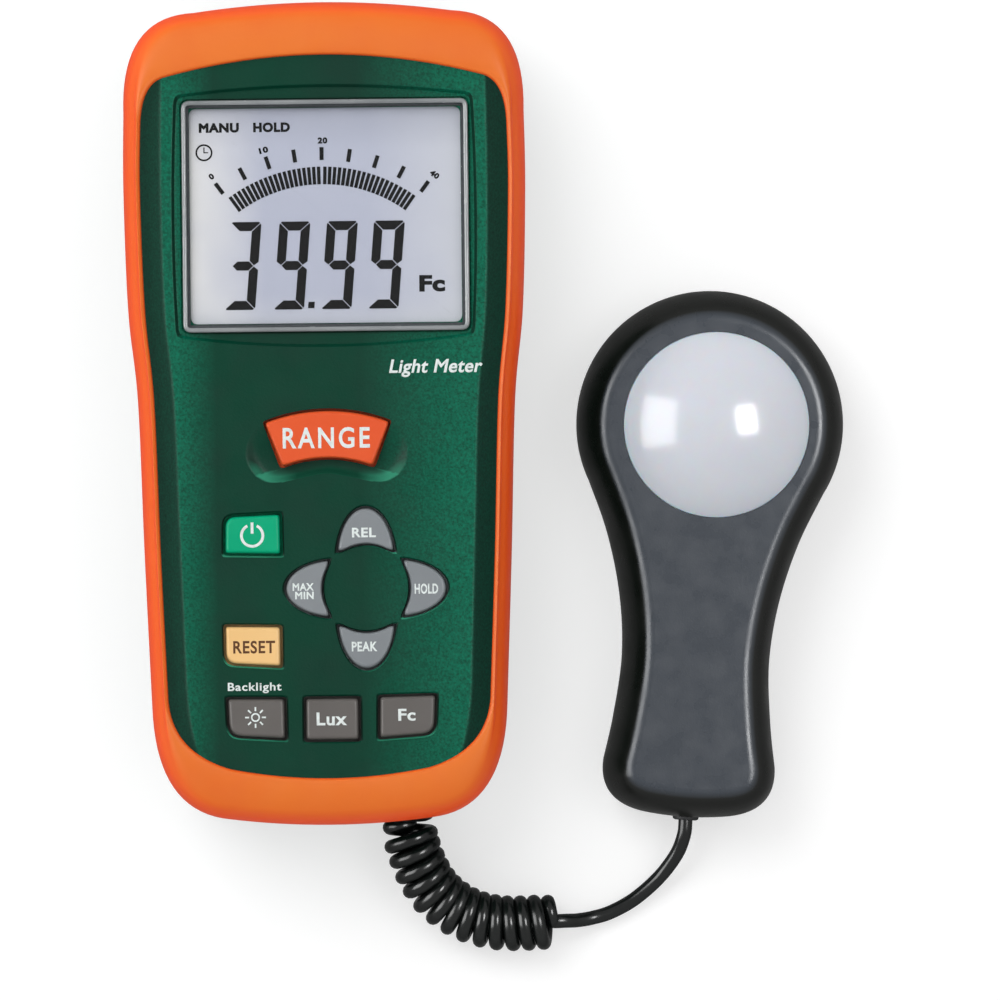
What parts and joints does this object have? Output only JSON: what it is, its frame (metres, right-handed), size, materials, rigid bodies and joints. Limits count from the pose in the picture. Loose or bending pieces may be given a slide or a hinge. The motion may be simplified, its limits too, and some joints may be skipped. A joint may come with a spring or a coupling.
{
  "type": "light meter",
  "caption": "Hand-held light meter in a rubber holster with a large display and keypad, and a remote domed sensor head on a curly cord.",
  "frame": {"origin": "middle of the meter's back, on the plane that the meter lies on", "axes": "+Z rises out of the display, +Y points to the meter's top end, +X to its right as it is read"},
  "size_m": [0.1309, 0.1737, 0.0348],
  "materials": {
    "holster_rubber": "satin moulded rubber",
    "case_plastic": "fine spark-textured ABS",
    "bezel_plastic": "satin grey",
    "lens_acrylic": "clear, polished",
    "lcd_glass": "smooth reflective display",
    "white_plastic": "matte white",
    "black_silicone": "matte",
    "circuit_board": "solder mask",
    "black_plastic": "moulded",
    "battery_jacket": "printed metal jacket",
    "brass": "machined",
    "steel": "plated",
    "orange_key": "satin silicone",
    "teal_key": "satin silicone",
    "amber_key": "satin silicone",
    "cool_grey_key": "satin silicone",
    "warm_grey_key": "satin silicone",
    "cord_jacket": "glossy black polyurethane",
    "head_plastic": "smooth black ABS, softly glossy",
    "opal_acrylic": "milky, polished",
    "filter_glass": "green glass"
  },
  "bodies": {
    "case": {"holster": "holster_rubber", "front_case": "case_plastic", "rear_case": "case_plastic", "display_bezel": "bezel_plastic", "display_lens": "lens_acrylic", "lcd_glass": "lcd_glass", "backlight_panel": "white_plastic", "elastomer_strip": "black_silicone", "main_board": "circuit_board", "keypad_mat": "black_silicone", "controller_chip": "black_plastic", "buzzer": "black_plastic", "battery": "battery_jacket", "battery_snap": "black_plastic", "sensor_jack": "black_plastic", "tripod_insert": "brass", "stand_pin": "steel", "case_screw_1": "steel", "case_screw_2": "steel", "case_screw_3": "steel", "case_screw_4": "steel"},
    "range_button": {"range_button": "orange_key"},
    "power_button": {"power_button": "teal_key"},
    "relative_button": {"relative_button": "cool_grey_key"},
    "max_min_button": {"max_min_button": "cool_grey_key"},
    "peak_button": {"peak_button": "cool_grey_key"},
    "hold_button": {"hold_button": "cool_grey_key"},
    "reset_button": {"reset_button": "amber_key"},
    "backlight_button": {"backlight_button": "warm_grey_key"},
    "lux_button": {"lux_button": "warm_grey_key"},
    "footcandle_button": {"footcandle_button": "warm_grey_key"},
    "stand": {"tilt_stand": "case_plastic"},
    "door": {"battery_door": "case_plastic", "battery_door_screw": "steel"},
    "plug": {"plug_barrel": "steel", "sensor_plug": "black_plastic", "cord_coil": "cord_jacket", "cord_lead": "cord_jacket"},
    "head": {"head_front_shell": "head_plastic", "head_rear_shell": "head_plastic", "diffuser_dome": "opal_acrylic", "photometric_filter": "filter_glass", "photodiode": "steel", "head_board": "circuit_board", "cord_grommet": "black_silicone", "head_screw_1": "steel", "head_screw_2": "steel", "head_screw_3": "steel"}
  },
  "joints": [
    {"name": "range_press", "type": "slide", "parent": "case", "child": "range_button", "axis": [0, 0, -1], "range_m": [0, 0.0007], "stiffness_N_per_m": 600},
    {"name": "power_press", "type": "slide", "parent": "case", "child": "power_button", "axis": [0, 0, -1], "range_m": [0, 0.0007], "stiffness_N_per_m": 600},
    {"name": "relative_press", "type": "slide", "parent": "case", "child": "relative_button", "axis": [0, 0, -1], "range_m": [0, 0.0007], "stiffness_N_per_m": 600},
    {"name": "max_min_press", "type": "slide", "parent": "case", "child": "max_min_button", "axis": [0, 0, -1], "range_m": [0, 0.0007], "stiffness_N_per_m": 600},
    {"name": "peak_press", "type": "slide", "parent": "case", "child": "peak_button", "axis": [0, 0, -1], "range_m": [0, 0.0007], "stiffness_N_per_m": 600},
    {"name": "hold_press", "type": "slide", "parent": "case", "child": "hold_button", "axis": [0, 0, -1], "range_m": [0, 0.0007], "stiffness_N_per_m": 600},
    {"name": "reset_press", "type": "slide", "parent": "case", "child": "reset_button", "axis": [0, 0, -1], "range_m": [0, 0.0007], "stiffness_N_per_m": 600},
    {"name": "backlight_press", "type": "slide", "parent": "case", "child": "backlight_button", "axis": [0, 0, -1], "range_m": [0, 0.0007], "stiffness_N_per_m": 600},
    {"name": "lux_press", "type": "slide", "parent": "case", "child": "lux_button", "axis": [0, 0, -1], "range_m": [0, 0.0007], "stiffness_N_per_m": 600},
    {"name": "footcandle_press", "type": "slide", "parent": "case", "child": "footcandle_button", "axis": [0, 0, -1], "range_m": [0, 0.0007], "stiffness_N_per_m": 600},
    {"name": "stand_hinge", "type": "hinge", "parent": "case", "child": "stand", "pos_m": [0, 0.0559, 0.0019], "axis": [1, 0, 0], "range_deg": [0, 65]},
    {"name": "door_lift", "type": "slide", "parent": "case", "child": "door", "axis": [0, 0, -1], "range_m": [0, 0.025]},
    {"name": "plug_pull", "type": "slide", "parent": "case", "child": "plug", "axis": [0, -1, 0], "range_m": [0, 0.014]},
    {"name": "head_reach", "type": "slide", "parent": "plug", "child": "head", "axis": [1, 0, 0], "range_m": [0, 0.12], "stiffness_N_per_m": 15}
  ]
}
